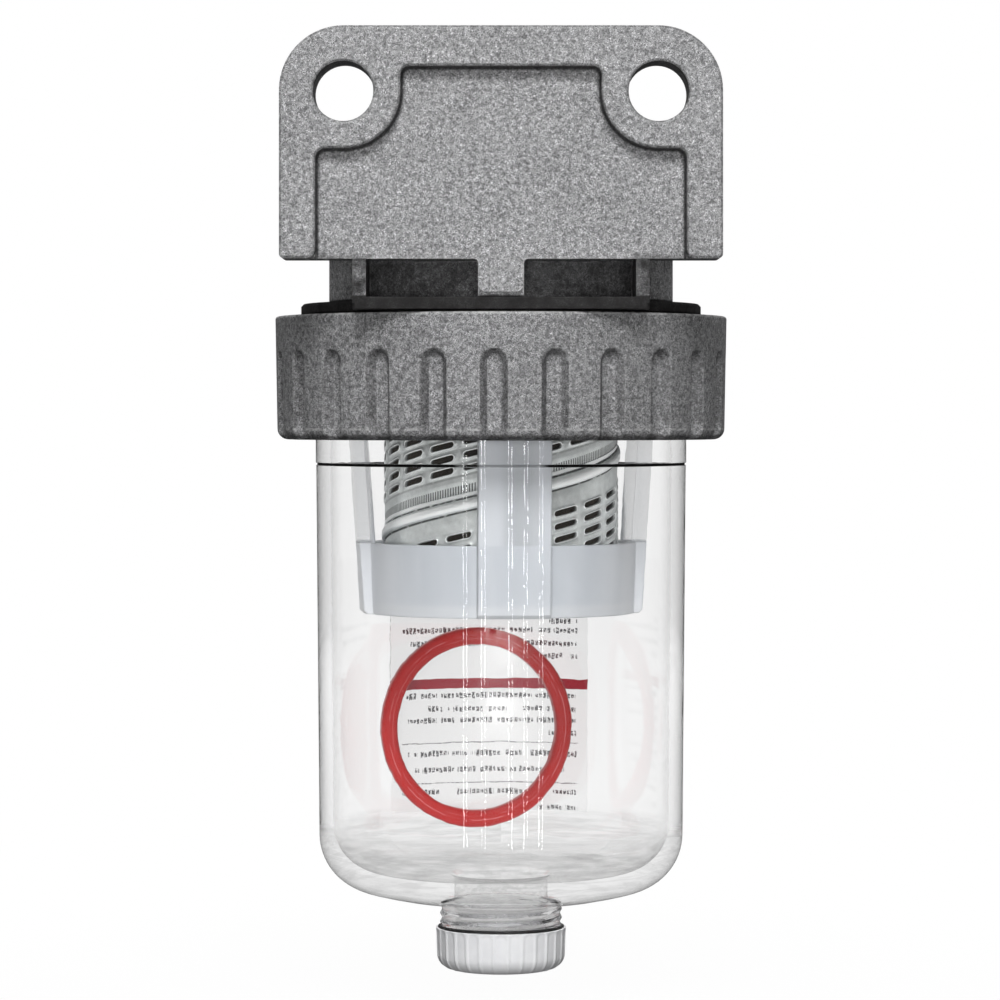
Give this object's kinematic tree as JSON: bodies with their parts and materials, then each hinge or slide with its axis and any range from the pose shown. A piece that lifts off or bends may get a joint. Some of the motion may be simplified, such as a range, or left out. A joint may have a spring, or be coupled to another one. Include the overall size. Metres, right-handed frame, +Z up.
{
  "type": "fuel water separator",
  "caption": "Bracket-mounted fuel water separator: cast head with plate and ports, fluted ring nut, clear bowl with float ring and drain cap, slotted filter element in a cage.",
  "frame": {"origin": "midway between the two bolt holes, on the mounting face of the bracket plate", "axes": "-Y points out of the mounting face to what the plate is bolted to, +Z is up along the bowl's axis, +X runs from hole to hole"},
  "size_m": [0.0912, 0.0931, 0.1859],
  "materials": {
    "cast_metal": "blasted die casting, mid grey",
    "nut_metal": "blasted die casting, dark grey",
    "black_rubber": "smooth black rubber",
    "turned_steel": "turned, zinc plated",
    "galvanised_steel": "galvanised sheet",
    "filter_paper": "resin-treated dark paper",
    "milky_plastic": "milky, lets some light through",
    "white_plastic": "satin white moulding",
    "clear_plastic": "clear, polished",
    "label_film": null,
    "red_plastic": "bright red moulding",
    "copper": "soft copper"
  },
  "bodies": {
    "head": {"head_casting": "cast_metal", "bowl_seal": "black_rubber", "outlet_spigot": "turned_steel", "element_grommet": "black_rubber", "upper_end_cap": "galvanised_steel", "perforated_tube": "galvanised_steel", "pleated_media": "filter_paper", "inner_core": "galvanised_steel", "lower_end_cap": "milky_plastic", "baffle_cage": "milky_plastic"},
    "bowl_unit": {"bowl": "clear_plastic", "bowl_label": "label_film", "float_ring": "red_plastic"},
    "collar": {"ring_nut": "nut_metal"},
    "drain_ring": {"drain_seal": "black_rubber"},
    "drain_knob": {"drain_cap": "white_plastic"},
    "vent_ring": {"bleed_washer": "copper"},
    "vent_plug": {"bleed_screw": "turned_steel"}
  },
  "joints": [
    {"name": "bowl_drop", "type": "slide", "parent": "head", "child": "bowl_unit", "axis": [0, 0, -1], "range_m": [0, 0.0135]},
    {"name": "collar_turn", "type": "hinge", "parent": "bowl_unit", "child": "collar", "pos_m": [0, 0.0475, -0.054], "axis": [0, 0, -1], "range_deg": [0, 1620]},
    {"name": "drain_ring_drop", "type": "slide", "parent": "bowl_unit", "child": "drain_ring", "axis": [0, 0, -1], "range_m": [0, 0.00525]},
    {"name": "drain_cap_turn", "type": "hinge", "parent": "drain_ring", "child": "drain_knob", "pos_m": [0, 0.0475, -0.169], "axis": [0, 0, -1], "range_deg": [0, 1080]},
    {"name": "vent_ring_rise", "type": "slide", "parent": "head", "child": "vent_ring", "axis": [0, 0, 1], "range_m": [0, 0.003]},
    {"name": "vent_screw_turn", "type": "hinge", "parent": "vent_ring", "child": "vent_plug", "pos_m": [0.015, 0.0575, 0], "axis": [0, 0, 1], "range_deg": [0, 1080]}
  ],
  "couplings": [
    {"joint": "bowl_drop", "follows": "collar_turn", "m_per_rad": 0.00047746},
    {"joint": "drain_ring_drop", "follows": "drain_cap_turn", "m_per_rad": 0.00027852},
    {"joint": "vent_ring_rise", "follows": "vent_screw_turn", "m_per_rad": 0.00015915}
  ]
}
